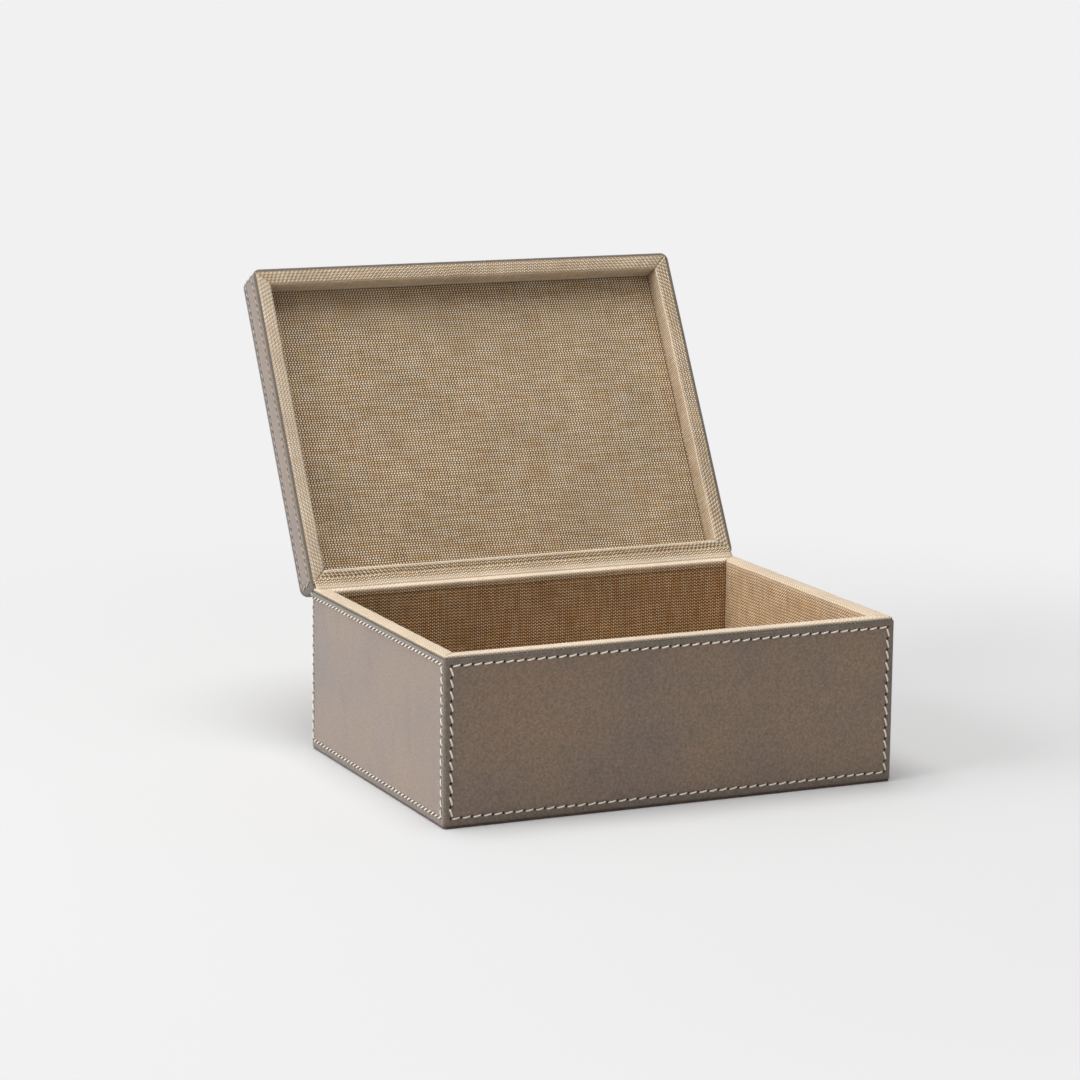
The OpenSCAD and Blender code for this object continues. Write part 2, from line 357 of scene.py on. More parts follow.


# Plain-woven natural linen: cream weft over browner warp ends that lie in pairs, with slubs, painted shade
# where one thread dives under the next, lighter on rims and folds (partly wear, partly painted light), and a
# dry, slightly fuzzy surface. The map holds metres of cloth, u across the warp and v across the weft.
def makeLinen(name, look):
    material, tree = newMaterial(name)
    cloth = addNode(tree, "ShaderNodeUVMap", {"uv_map": "cloth"}).outputs["UV"]
    wander = addNode(
        tree,
        "ShaderNodeTexNoise",
        {"Scale": 1000 / look["driftSize"], "Detail": 1.0},
        {"Vector": cloth},
    )
    centred = addNode(
        tree,
        "ShaderNodeVectorMath",
        {"operation": "SUBTRACT", 1: (0.5, 0.5, 0.5)},
        {0: wander.outputs["Color"]},
    )
    pushed = addNode(
        tree,
        "ShaderNodeVectorMath",
        {"operation": "MULTIPLY_ADD", 1: (look["drift"] * 0.003, look["drift"] * 0.003, 0.0)},
        {0: centred.outputs[0], 2: cloth},
    )
    parts = addNode(tree, "ShaderNodeSeparateXYZ", {}, {0: pushed.outputs[0]})

    def calc(operation, first, second=None, third=None):
        settings, links = {"operation": operation}, {}
        for index, value in enumerate((first, second, third)):
            if isinstance(value, bpy.types.NodeSocket):
                links[index] = value
            elif value is not None:
                settings[index] = value
        return addNode(tree, "ShaderNodeMath", settings, links).outputs[0]

    phase = calc("MULTIPLY", parts.outputs[0], pi * 1000 / look["warpPitch"])
    paired = calc("MULTIPLY_ADD", calc("SINE", phase), look["pairing"], phase)
    warpWave = calc("SINE", paired)
    weftWave = calc("SINE", calc("MULTIPLY", parts.outputs[1], pi * 1000 / look["weftPitch"]))
    heights = []
    for near, far, over in ((warpWave, weftWave, 0.5), (weftWave, warpWave, -0.5)):
        rounded = calc("POWER", calc("ABSOLUTE", near), 0.6)
        crossing = calc("MULTIPLY", calc("SIGN", near), far)
        heights.append(calc("MULTIPLY", rounded, calc("MULTIPLY_ADD", crossing, over, 0.5)))
    height = calc("MAXIMUM", heights[0], heights[1])
    for wave, gap in (
        (weftWave, look["rowGap"]),
        (calc("COSINE", calc("MULTIPLY", phase, 0.5)), look["pairGap"]),
    ):
        height = calc("MULTIPLY", height, calc("MULTIPLY_ADD", calc("ABSOLUTE", wave), gap, 1 - gap))
    weftOnTop = calc("GREATER_THAN", heights[1], heights[0])
    threads = []
    for colours, scales in (
        (look["warpColours"], (look["slubThreads"] * look["warpPitch"], look["slubLength"])),
        (look["weftColours"], (look["slubLength"], look["slubThreads"] * look["weftPitch"])),
    ):
        stretched = addNode(
            tree,
            "ShaderNodeMapping",
            {"Scale": (1000 / scales[0], 1000 / scales[1], 1.0)},
            {"Vector": pushed.outputs[0]},
        )
        slub = addNode(
            tree,
            "ShaderNodeTexNoise",
            {"Scale": 1.0, "Detail": 1.0},
            {"Vector": stretched.outputs[0]},
        )
        tint = addNode(
            tree, "ShaderNodeMapRange", {"From Min": 0.36, "From Max": 0.64}, {"Value": slub.outputs["Fac"]}
        )
        threads.append(mixColours(tree, tint.outputs["Result"], *colours))
    thread = mixColours(tree, weftOnTop, *threads)
    # painted shade: the colour darkens towards the gap colour where a thread dives under the next
    depth = addNode(
        tree,
        "ShaderNodeMapRange",
        {"interpolation_type": "SMOOTHSTEP", "From Min": 0.1, "From Max": 0.42},
        {"Value": height},
    )
    colour = mixColours(tree, depth.outputs["Result"], look["gapShadeColour"], thread)
    # painted light on rims and folds, partly wear: the colour is mixed towards the pale rim colour
    rubbedAndLit = addNode(tree, "ShaderNodeAttribute", {"attribute_name": "rubbedAndLit"})
    rubbedLitMix = mixColours(tree, rubbedAndLit.outputs["Fac"], colour, look["rubbedLitColour"])
    retoned = addNode(
        tree,
        "ShaderNodeTexNoise",
        {"Scale": 1000 / look["wearSize"], "Detail": 4.0},
        {"Vector": cloth},
    )
    tone = addNode(
        tree,
        "ShaderNodeMapRange",
        {"From Min": 0.3, "From Max": 0.7, "To Min": 0.9, "To Max": 1.08},
        {"Value": retoned.outputs["Fac"]},
    )
    toned = addNode(
        tree, "ShaderNodeVectorMath", {"operation": "SCALE"}, {0: rubbedLitMix, "Scale": tone.outputs["Result"]}
    )
    raised = addNode(
        tree,
        "ShaderNodeBump",
        {"Strength": look["relief"], "Distance": 0.0002},
        {"Height": height},
    )
    shader = addNode(
        tree,
        "ShaderNodeBsdfPrincipled",
        {
            "Roughness": 0.85,
            "IOR": 1.5,
            "Specular IOR Level": 0.25,
            "Sheen Weight": 0.45,
            "Sheen Roughness": 0.45,
            "Sheen Tint": srgb("#FFF1DA"),
        },
        {"Base Color": toned.outputs[0], "Normal": raised.outputs[0]},
    )
    closeMaterial(tree, shader)
    return material


threadLook = {"colours": ["#DDD3BF", "#FFFBF1"]}


# Waxed linen sewing thread, three strands twisted: cream, a little glossy from the wax
def makeThread(name, look):
    material, tree = newMaterial(name)
    cloth = addNode(tree, "ShaderNodeUVMap", {"uv_map": "thread"}).outputs["UV"]
    strands = addNode(
        tree,
        "ShaderNodeTexWave",
        {"bands_direction": "DIAGONAL", "Scale": 1.0, "Distortion": 0.4, "Detail": 1.0},
        {"Vector": cloth},
    )
    colour = mixColours(tree, strands.outputs["Fac"], *look["colours"])
    raised = addNode(
        tree, "ShaderNodeBump", {"Strength": 0.5, "Distance": 0.0001}, {"Height": strands.outputs["Fac"]}
    )
    shader = addNode(
        tree,
        "ShaderNodeBsdfPrincipled",
        {"Roughness": 0.5, "IOR": 1.48},
        {"Base Color": colour, "Normal": raised.outputs[0]},
    )
    closeMaterial(tree, shader)
    return material


boardLook = {"fibre": 1.6, "colours": ["#8A6C45", "#B3946A"]}


# Laminated wood-pulp board, cut and unpainted: dry and brown, flecked with fibres in its layers
def makeBoard(name, look):
    material, tree = newMaterial(name)
    place = addNode(tree, "ShaderNodeTexCoord").outputs["Object"]
    layered = addNode(tree, "ShaderNodeMapping", {"Scale": (1.0, 1.0, 3.0)}, {"Vector": place})
    fibres = addNode(
        tree,
        "ShaderNodeTexNoise",
        {"Scale": 1000 / look["fibre"], "Detail": 4.0, "Distortion": 1.2},
        {"Vector": layered.outputs[0]},
    )
    colour = mixColours(tree, fibres.outputs["Fac"], *look["colours"])
    rough = addNode(
        tree, "ShaderNodeMapRange", {"To Min": 0.75, "To Max": 0.95}, {"Value": fibres.outputs["Fac"]}
    )
    raised = addNode(
        tree, "ShaderNodeBump", {"Strength": 0.4, "Distance": 0.0001}, {"Height": fibres.outputs["Fac"]}
    )
    shader = addNode(
        tree,
        "ShaderNodeBsdfPrincipled",
        {},
        {"Base Color": colour, "Roughness": rough.outputs["Result"], "Normal": raised.outputs[0]},
    )
    closeMaterial(tree, shader)
    return material


waxedHide = makeLeather("waxedHide", leatherLook)
splitHide = makeLeather(
    "splitHide",
    {
        **leatherLook,
        "fieldColours": ["#4E382E", "#5A4034", "#66493A"],
        "marginColour": "#4A332A",
        "roughness": 0.7,
    },
)
naturalLinen = makeLinen("naturalLinen", linenLook)
# a darker, more saturated copy of the linen for the base's lining: painted shade for the inside of the box
shadedLinen = makeLinen(
    "shadedLinen",
    {
        **linenLook,
        "warpColours": ["#8A6239", "#BC905C"],
        "weftColours": ["#E9C697", "#FFECCB"],
        "gapShadeColour": "#3A200E",
        "rubbedLitColour": "#EADCCA",
    },
)
waxedThread = makeThread("waxedLinenThread", threadLook)
greyedThread = makeThread("greyedLinenThread", {"colours": ["#ADA193", "#CFC5B7"]})
pulpBoard = makeBoard("pulpBoard", boardLook)
print("materials made")


# Leather panels

panelShape = {
    "burnish": 0.7,
    "edgeLines": [0.0, 0.06, 0.2, 0.42, 0.7],
    "holeHalf": 0.92,
    "holeDepth": 1.3,
    "holeLines": [-1.05, -0.5, 0.0, 0.5, 1.05],
    "holeShift": 0.28,
    "rowDrift": 0.3,
    "grooveDepth": 0.22,
    "grooveWidth": 1.1,
    "unevenness": 0.1,
    "besideLines": [1.8, 2.7],
    "lineRoom": 0.2,
    "driftFade": 12.0,
    "driftSize": 45.0,
    "unevenSize": 38.0,
    "dimples": 0.12,
    "dimpleSize": 11.0,
    "fadeWidth": 8.0,
    "skivedOver": 3.5,
    "cornerSteps": 5,
    "rimWidth": 0.7,
    "rimWave": 0.2,
    "rimWaveSize": 6.0,
    "marginSpread": [-1.5, 3.5],
    "holeShadeSpread": 2.6,
}


# Where hole i of a row lies along it: hand-pricked, so not quite even
def holeAt(i, half, gaps, seed):
    shift = 0.0
    if i not in (0, gaps):
        shift = panelShape["holeShift"] * noise.noise(Vector((i * 0.9, seed * 5.3, 0.7)))
    return i * 2 * half / gaps - half + shift


# How far a row has wandered outwards at a place along it
def rowDrift(along, half, seed):
    ends = min(1.0, max(0.0, (half - abs(along)) / panelShape["driftFade"]))
    return panelShape["rowDrift"] * ends * uneven(along, 0, panelShape["driftSize"], seed + 0.5)


# Lines across a panel where its mesh has vertices: at its edges, round each hole and midway between holes
def panelLines(length, half, gaps, seed, shape):
    end = length / 2
    lines = set()
    for distance in shape["edgeLines"]:
        lines |= {end - distance, distance - end}
    for distance in shape["besideLines"]:
        if half + distance < end - shape["edgeLines"][-1] - shape["lineRoom"]:
            lines |= {half + distance, -half - distance}
    for i in range(gaps + 1):
        for offset in shape["holeLines"]:
            lines.add(holeAt(i, half, gaps, seed) + offset)
        if i < gaps:
            lines.add((holeAt(i, half, gaps, seed) + holeAt(i + 1, half, gaps, seed)) / 2)
    return sorted(round(line, 4) for line in lines)


# How deep a stitched row and its pricked holes press the leather at (u, v), how near a hole is, and how far
# the point is outside the row
def pressed(u, v, halfU, halfV, gapsU, gapsV, seed, shape):
    outsideU = abs(u) - halfU - rowDrift(v, halfV, seed)
    outsideV = abs(v) - halfV - rowDrift(u, halfU, seed)
    outside = max(outsideU, outsideV)
    depth = shape["grooveDepth"] * exp(-((outside / shape["grooveWidth"]) ** 2))
    prick = 0.0
    for a, halfA, gaps, beside in ((u, halfU, gapsU, outsideV), (v, halfV, gapsV, outsideU)):
        pitch = 2 * halfA / gaps
        nearest = holeAt(min(gaps, max(0, round((a + halfA) / pitch))), halfA, gaps, seed)
        prick = max(prick, 1 - (abs(a - nearest) + abs(beside)) / shape["holeHalf"])
    return depth + shape["holeDepth"] * max(0.0, prick), max(0.0, prick), outside


# Shares of margin, painted edge (partly painted shade) and pricked hole (its near-black painted shade) at (u,
# v), this far from the panel's border
def leatherFacts(tray, u, v, fromBorder, outside, prick, seed):
    shape = panelShape
    ragged = shape["rimWave"] * uneven(u, v, shape["rimWaveSize"], seed + 5)
    rim = 1 - smoothStep(0.0, shape["rimWidth"], fromBorder + ragged)
    margin = smoothStep(*shape["marginSpread"], outside)
    return margin, tray["edgePaintAndShade"] * rim, tray["pricked"] * min(1.0, prick * shape["holeShadeSpread"])


def edgeDrop(distance, radius):
    if distance >= radius:
        return 0.0
    return radius - sqrt(max(0.0, radius * radius - (radius - distance) ** 2))


# A panel of leather: a grid over its outer face, moved into shape, whose border is drawn in to the inner face
def panelMesh(us, vs, outer, inner, facts, edgePaintAndShade):
    bm = bmesh.new()
    margin = bm.verts.layers.float.new("margin")
    edge = bm.verts.layers.float.new("edge")
    prick = bm.verts.layers.float.new("prick")
    bmesh.ops.create_grid(bm, x_segments=len(us) - 1, y_segments=len(vs) - 1, size=0.5)
    border = {}
    for vert in bm.verts:
        i = round((vert.co.x + 0.5) * (len(us) - 1))
        j = round((vert.co.y + 0.5) * (len(vs) - 1))
        u, v = us[i], vs[j]
        vert[margin], vert[edge], vert[prick] = facts(u, v)
        vert.co = outer(u, v)
        if i in (0, len(us) - 1) or j in (0, len(vs) - 1):
            border[vert.index] = (u, v)
    bm.verts.ensure_lookup_table()
    starts = [vert for vert in bm.verts if vert.is_boundary]
    keyed = {tuple(round(c, 7) for c in bm.verts[index].co): uv for index, uv in border.items()}
    made = bmesh.ops.extrude_edge_only(bm, edges=[e for e in bm.edges if e.is_boundary])
    fresh = [g for g in made["geom"] if isinstance(g, bmesh.types.BMVert)]
    for vert in fresh:
        u, v = keyed[tuple(round(c, 7) for c in vert.co)]
        vert.co = inner(u, v)
        vert[margin], vert[edge], vert[prick] = 1.0, edgePaintAndShade, 0.0
    for vert in starts:
        vert[edge] = edgePaintAndShade
    bmesh.ops.edgeloop_fill(bm, edges=[e for e in bm.edges if e.is_boundary])
    bmesh.ops.remove_doubles(bm, verts=fresh, dist=1e-6)
    bmesh.ops.recalc_face_normals(bm, faces=bm.faces)
    return bm


sewing = {
    "pitch": 5.9,
    "sideRowPitch": 4.5,
    "sideColumnPitch": 5.3,
    "topInset": 4.5,
    "sideInset": 3.9,
    "sideColumnInset": 3.2,
}


# Half the length and height of a wall's ring of stitches, and how many gaps between holes each has
def ringSize(tray, side):
    halfU, halfV = span(tray, side) / 2 - tray["inset"], tray["panel"] / 2 - tray["rowInset"]
    if side % 2 == 0:
        return halfU, halfV, round(2 * halfU / sewing["pitch"]), round(2 * halfV / sewing["pitch"])
    halfU = span(tray, side) / 2 - min(tray["inset"], sewing["sideColumnInset"])
    halfV = tray["panel"] / 2 - min(tray["rowInset"], sewing["sideInset"])
    gapsU = round(2 * halfU / sewing["sideRowPitch"])
    return halfU, halfV, gapsU, round(2 * halfV / sewing["sideColumnPitch"])


def topRingSize():
    halfU, halfV = box["width"] / 2 - sewing["topInset"], box["lidDepth"] / 2 - sewing["topInset"]
    return halfU, halfV, round(2 * halfU / sewing["pitch"]), round(2 * halfV / sewing["pitch"])


# Across a panel u runs to the right and v upwards, seen from outside with the box shut
def wallPanel(tray, side, seed):
    shape = panelShape
    w, h, radius = span(tray, side), tray["panel"], tray["cornerRadius"]
    halfU, halfV, gapsU, gapsV = ringSize(tray, side)
    us = panelLines(w, halfU, gapsU, seed, shape)
    vs = panelLines(h, halfV, gapsV, seed, shape)
    # round the upright corner as far as the mitre
    for step in range(1, shape["cornerSteps"]):
        distance = radius * (1 - step / shape["cornerSteps"])
        us += [w / 2 - distance, distance - w / 2]
    us = sorted(set(round(u, 4) for u in us))
    cornerStart = w / 2 - radius

    # the edge under the rim is skived a little lower than the board
    def away(v):
        depth = h / 2 - v if tray["turned"] else h / 2 + v
        return depth + tray["lowered"] * (1 - smoothStep(0, shape["skivedOver"], depth))

    def outer(u, v):
        depth, _, _ = pressed(u, v, halfU, halfV, gapsU, gapsV, seed, shape)
        depth += edgeDrop(h / 2 - abs(v), shape["burnish"])
        fade = min(1.0, (h / 2 - abs(v)) / shape["fadeWidth"], (w / 2 - abs(u)) / shape["fadeWidth"])
        depth += shape["unevenness"] * fade * (1 + uneven(u, v, shape["unevenSize"], seed)) / 2
        depth += shape["dimples"] * fade * max(0.0, uneven(u, v, shape["dimpleSize"], seed + 3))
        along, inwards = abs(u), 0.0
        if along > cornerStart:
            # the arc takes the rest of the line, up to 45 degrees
            turn = (along - cornerStart) / radius * pi / 4
            along = cornerStart + (radius - depth) * sin(turn)
            inwards = radius - (radius - depth) * cos(turn)
        else:
            inwards = depth
        return wallPoint(tray, side, along if u > 0 else -along, inwards, away(v))

    def inner(u, v):
        limit = w / 2 - box["leather"]
        return wallPoint(tray, side, min(limit, max(-limit, u)), box["leather"], away(v))

    def facts(u, v):
        _, prick, outside = pressed(u, v, halfU, halfV, gapsU, gapsV, seed, shape)
        return leatherFacts(tray, u, v, h / 2 - abs(v), outside, prick, seed)

    return panelMesh(us, vs, outer, inner, facts, tray["edgePaintAndShade"])


def topPanel(tray, seed):
    shape = panelShape
    w, d, radius = box["width"], tray["depth"], tray["cornerRadius"]
    halfU, halfV, gapsU, gapsV = topRingSize()
    us = panelLines(w, halfU, gapsU, seed, shape)
    vs = panelLines(d, halfV, gapsV, seed, shape)

    # the square corner of the grid is drawn in to a round one
    def rounded(u, v):
        a, b = abs(u) - (w / 2 - radius), abs(v) - (d / 2 - radius)
        if a > 0 and b > 0:
            share = max(a, b) / sqrt(a * a + b * b)
            a, b = a * share, b * share
            u = (w / 2 - radius + a) * (1 if u > 0 else -1)
            v = (d / 2 - radius + b) * (1 if v > 0 else -1)
        return u, v

    def outer(u, v):
        depth, _, _ = pressed(u, v, halfU, halfV, gapsU, gapsV, seed, shape)
        edge = min(w / 2 - abs(u), d / 2 - abs(v))
        depth += edgeDrop(edge, shape["burnish"])
        fade = min(1.0, edge / shape["fadeWidth"])
        depth += shape["unevenness"] * fade * (1 + uneven(u, v, shape["unevenSize"], seed)) / 2
        x, y = rounded(u, v)
        return tray["place"] @ Vector((x, y, box["lidHeight"] - depth)) * 0.001

    def inner(u, v):
        x, y = rounded(u, v)
        return tray["place"] @ Vector((x, y, box["lidHeight"] - box["leather"])) * 0.001

    def facts(u, v):
        _, prick, outside = pressed(u, v, halfU, halfV, gapsU, gapsV, seed, shape)
        return leatherFacts(tray, u, v, min(w / 2 - abs(u), d / 2 - abs(v)), outside, prick, seed)

    return panelMesh(us, vs, outer, inner, facts, tray["edgePaintAndShade"])


for trayName, tray in trays.items():
    for side, sideName in enumerate(sideNames):
        makePiece(
            wallPanel(tray, side, side + tray["seed"]),
            f"{trayName}Leather{sideName}",
            waxedHide,
            tray["body"],
            [f"{trayName}_leather_{sideName.lower()}"],
        )
makePiece(topPanel(trays["lid"], 21), "lidLeatherTop", waxedHide, "lid", ["lid_leather_top"])
print("leather panels made")

# Sheet of split leather under the base, a little inside the walls

undersideShape = {"inset": 0.4, "thickness": box["underside"], "corner": 1.8, "bevel": 0.35}


def undersideSheet(shape):
    bm = bmesh.new()
    for name in ("margin", "edge", "prick"):
        bm.verts.layers.float.new(name)
    bmesh.ops.create_cube(bm, size=1.0)
    w, d = box["width"] - 2 * shape["inset"], box["depth"] - 2 * shape["inset"]
    bmesh.ops.scale(bm, vec=Vector((w, d, shape["thickness"])) * 0.001, verts=bm.verts)
    bmesh.ops.translate(bm, vec=Vector((0, 0, shape["thickness"] * 0.0005)), verts=bm.verts)
    upright = [e for e in bm.edges if abs(e.verts[0].co.z - e.verts[1].co.z) > 1e-6]
    bmesh.ops.bevel(
        bm,
        geom=upright,
        offset=shape["corner"] * 0.001,
        segments=4,
        profile=0.5,
        affect="EDGES",
        material=-1,
    )
    low = [e for e in bm.edges if max(v.co.z for v in e.verts) < 1e-6]
    bmesh.ops.bevel(
        bm, geom=low, offset=shape["bevel"] * 0.001, segments=3, profile=0.5, affect="EDGES", material=-1
    )
    bmesh.ops.recalc_face_normals(bm, faces=bm.faces)
    return bm


makePiece(undersideSheet(undersideShape), "baseUnderside", splitHide, "base", ["base_underside"])

# Saddle stitches

stitchShape = {
    "share": 0.84,
    "sideShare": 0.84,
    "width": 0.88,
    "height": 0.7,
    "rise": 0.34,
    "dip": 0.55,
    "rings": 8,
    "sides": 6,
    "rowSlant": 10.0,
    "sideRowSlant": 28.0,
    "columnSlant": 18.0,
    "columnWidth": 1.15,
    "endSlim": 0.8,
    "slantWobble": 4.0,
    "lengthWobble": 0.06,
    "heightWobble": 0.15,
}


# One stitch of unit length along x, its ends diving into the leather; y is across and z out of the leather
def stitchMesh(shape):
    bm = bmesh.new()
    layer = bm.loops.layers.uv.new("thread")
    rings = shape["rings"]
    made = bmesh.ops.create_cone(
        bm, cap_ends=True, segments=shape["sides"], radius1=0.5, radius2=0.5, depth=1.0,
        matrix=Matrix.Rotation(pi / 2, 4, "Y"),
    )
    lengthwise = [e for e in bm.edges if abs(e.verts[0].co.x - e.verts[1].co.x) > 0.5]
    bmesh.ops.subdivide_edges(bm, edges=lengthwise, cuts=rings - 2, use_grid_fill=True)
    for vert in bm.verts:
        t = 2 * vert.co.x
        swell = sqrt(max(0.05, 1 - abs(t) ** 5))
        vert.co.y *= shape["width"] * swell
        vert.co.z *= shape["height"] * swell
        vert.co.z += shape["rise"] - (shape["rise"] + shape["dip"]) * abs(t) ** 4
    for face in bm.faces:
        for loop in face.loops:
            loop[layer].uv = (loop.vert.co.x * 4, loop.vert.co.y * 3 + loop.vert.co.z * 2)
    bmesh.ops.recalc_face_normals(bm, faces=bm.faces)
    mesh = bpy.data.meshes.new("stitch")
    bm.to_mesh(mesh)
    bm.free()
    return mesh


def stitchRing(mesh, ring, surface, seed, short=False, slim=1.0):
    halfU, halfV, gapsU, gapsV = ring
    bm = bmesh.new()
    shape = stitchShape
    rows = [(i, sign, False) for i in range(gapsU) for sign in (-1, 1)]
    columns = [(i, sign, True) for i in range(gapsV) for sign in (-1, 1)]
    for index, (i, sign, upright) in enumerate(rows + columns):
        halfA, halfB, gaps = (halfV, halfU, gapsV) if upright else (halfU, halfV, gapsU)
        first, last = holeAt(i, halfA, gaps, seed), holeAt(i + 1, halfA, gaps, seed)
        along = (first + last) / 2
        across = sign * (halfB + rowDrift(along, halfA, seed))
        u, v = (across, along) if upright else (along, across)
        slant = 90 + shape["columnSlant"] if upright else shape["sideRowSlant" if short else "rowSlant"]
        wobble = noise.noise_vector(Vector((index * 1.7, seed * 3.1, 0.5)))
        turn = Matrix.Rotation(radians(slant + shape["slantWobble"] * wobble.x), 4, "Z")
        length = shape["sideShare" if short else "share"] * (last - first)
        length *= 1 + shape["lengthWobble"] * wobble.y
        width = slim * (shape["columnWidth"] if upright else 1.0)
        size = Matrix.Diagonal((length, width, slim + shape["heightWobble"] * wobble.z, 1.0))
        copied = mesh.copy()
        copied.transform(surface(u, v) @ turn @ size)
        bm.from_mesh(copied)
        bpy.data.meshes.remove(copied)
    bmesh.ops.recalc_face_normals(bm, faces=bm.faces)
    return bm


# Matrix that carries (right, up, out) at a point of a wall's outer face to metres in the frame
def wallSurface(tray, side):
    h = tray["panel"]
    turn = Matrix.Rotation(side * pi / 2, 4, "Z")
    face = Matrix(((1, 0, 0, 0), (0, 0, -1, 0), (0, 1, 0, 0), (0, 0, 0, 1)))
    if tray["turned"]:
        face = Matrix(((1, 0, 0, 0), (0, 0, -1, 0), (0, -1, 0, 0), (0, 0, 0, 1)))

    def surface(u, v):
        away = h / 2 - v if tray["turned"] else h / 2 + v
        spot = Matrix.Translation((u, -reach(tray, side), away))
        return Matrix.Scale(0.001, 4) @ tray["place"] @ turn @ spot @ face

    return surface


def topSurface(u, v):
    return Matrix.Scale(0.001, 4) @ trays["lid"]["place"] @ Matrix.Translation((u, v, box["lidHeight"]))


stitch = stitchMesh(stitchShape)
for trayName, tray in trays.items():
    for side, sideName in enumerate(sideNames):
        # the stitches on the lid's two ends are slimmer and greyer
        retoned = trayName == "lid" and side % 2 == 1
        slim = stitchShape["endSlim"] if retoned else 1.0
        ring = stitchRing(
            stitch, ringSize(tray, side), wallSurface(tray, side), side + tray["seed"], side % 2 == 1, slim
        )
        name, stands = f"{trayName}Stitches{sideName}", [f"{trayName}_stitches_{sideName.lower()}"]
        makePiece(ring, name, greyedThread if retoned else waxedThread, tray["body"], stands, sharp=80)
ring = stitchRing(stitch, topRingSize(), topSurface, 21)
makePiece(ring, "lidStitchesTop", waxedThread, "lid", ["lid_stitches_top"], sharp=80)
print("stitches made")

# Linen linings

liningShape = {
    "step": 2.0,
    "edgeRoll": 0.45,
    "rimWave": 0.25,
    "wallWave": 0.12,
    "stripThickness": 0.6,
    "play": 0.05,
    "stripReach": 4.5,
    "ridgeAt": 11,
    "thickness": 0.9,
    "backStart": 0.9,
    "tucked": 1.3,
    "wallStep": 6.0,
    "fadeWidth": 5.0,
    "wallWaveSize": 26.0,
    "rimWaveSize": 9.0,
    "lift": 0.07,
    "liftSize": 10.0,
}


# The cloth's way from under the leather edge, over the rim and down the wall, as (inwards from the leather,
# away); at the back it is let in by the thickness of the hinge strip, as far down as that reaches
def liningPath(tray, side, shape):
    letIn = shape["stripThickness"] + shape["play"] if side == 2 else 0.0
    start = shape["backStart"] if side == 2 else -tray["overlap"]
    top = letIn - (box["rimRise"] if side == 2 else tray["rise"])
    deep = box["board"] + box["linen"] - letIn
    leaf = tray["floor"] - box["linen"]
    small, roll = shape["edgeRoll"], tray["roll"]
    tucked = top + shape["tucked"]
    path = [(start, tucked if side == 2 else max(tucked, tray["lowered"] + 0.1))]
    for step in range(4):
        a = step / 3 * pi / 2
        path.append((start + small - small * cos(a), top + small - small * sin(a)))
    flat = deep - roll
    path += [(start + (flat - start) * t, top) for t in (0.3, 0.6)]
    for step in range(8):
        a = step / 7 * pi / 2
        path.append((flat + roll * sin(a), top + roll - roll * cos(a)))
    low = top + roll
    if side == 2:
        path += [(deep, shape["stripReach"] - 0.6), (deep + letIn + 0.03, shape["stripReach"] - 0.15)]
        low = shape["stripReach"] + 0.3
        path.append((deep + letIn, low))
    cuts = max(2, round((leaf - low) / shape["wallStep"]))
    path += [(deep + letIn, low + (leaf - low) * step / cuts) for step in range(1, cuts + 1)]
    return path


def layCloth(bm, spots, across, shift, opened=1.0):
    cloth = bm.loops.layers.uv.new("cloth")
    for face in bm.faces:
        for loop in face.loops:
            u, v = spots[loop.vert.index]
            along, rows = (u, v) if across else (v, u)
            loop[cloth].uv = (along * 0.001 + shift, rows * 0.001 / opened + shift)


def pathLengths(path):
    lengths = [0.0]
    for a, b in zip(path, path[1:]):
        lengths.append(lengths[-1] + (Vector(b) - Vector(a)).length)
    return lengths


def wallLining(tray, side, seed):
    shape = liningShape
    path = liningPath(tray, side, shape)
    lengths = pathLengths(path)
    half = span(tray, side) / 2
    columns = round(2 * half / shape["step"])
    bm = bmesh.new()
    rubbedAndLit = bm.verts.layers.float.new("rubbedAndLit")
    bmesh.ops.create_grid(bm, x_segments=columns, y_segments=len(path) - 1, size=0.5)
    spots = {}
    for vert in bm.verts:
        t = vert.co.x * 2
        j = round((vert.co.y + 0.5) * (len(path) - 1))
        inwards, away = path[j]
        end = half - box["leather"] - inwards
        along = t * end
        spots[vert.index] = (t * (half - box["leather"]), lengths[j])
        onRim = 1 - smoothStep(2.0, 7.0, away)
        # painted light: the rim's top and the ridge where it rolls into the wall are lightened, partly wear
        ridgeHighlight = max(0.0, 1 - abs(j - shape["ridgeAt"]) / 4)
        vert[rubbedAndLit] = max(tray["rubbedAndLit"][side] * (1 - smoothStep(0.2, 2.0, away)), tray["ridgeHighlight"] * ridgeHighlight)
        fade = min(1.0, (1 - abs(t)) * end / shape["fadeWidth"])
        push = shape["wallWave"] * (1 - onRim) * uneven(along, lengths[j], shape["wallWaveSize"], seed)
        wave = shape["rimWave"] * onRim * uneven(along, 0, shape["rimWaveSize"], seed + 2)
        push += wave * smoothStep(2.0, 5.0, inwards)
        lift = shape["lift"] * onRim * uneven(along, 5, shape["liftSize"], seed + 4)
        inwards += fade * push * (1 if inwards > 1 else 0)
        away -= fade * lift
        vert.co = wallPoint(tray, side, along, box["leather"] + inwards, away)
    layCloth(bm, spots, False, seed * 0.05)
    bmesh.ops.recalc_face_normals(bm, faces=bm.faces)
    return bm, lengths[-1]


def clothPiece(bm, name, material, body, stands, thickness, outwards):
    bm.faces.ensure_lookup_table()
    middle = min(bm.faces, key=lambda f: (f.calc_center_median() - outwards[0]).length)
    if middle.normal.dot(outwards[1]) < 0:
        bmesh.ops.reverse_faces(bm, faces=bm.faces)
    piece = makePiece(bm, name, material, body, stands, sharp=75)
    solid = piece.modifiers.new("thickness", "SOLIDIFY")
    solid.thickness = thickness * 0.001
    solid.offset = -1.0
    return piece


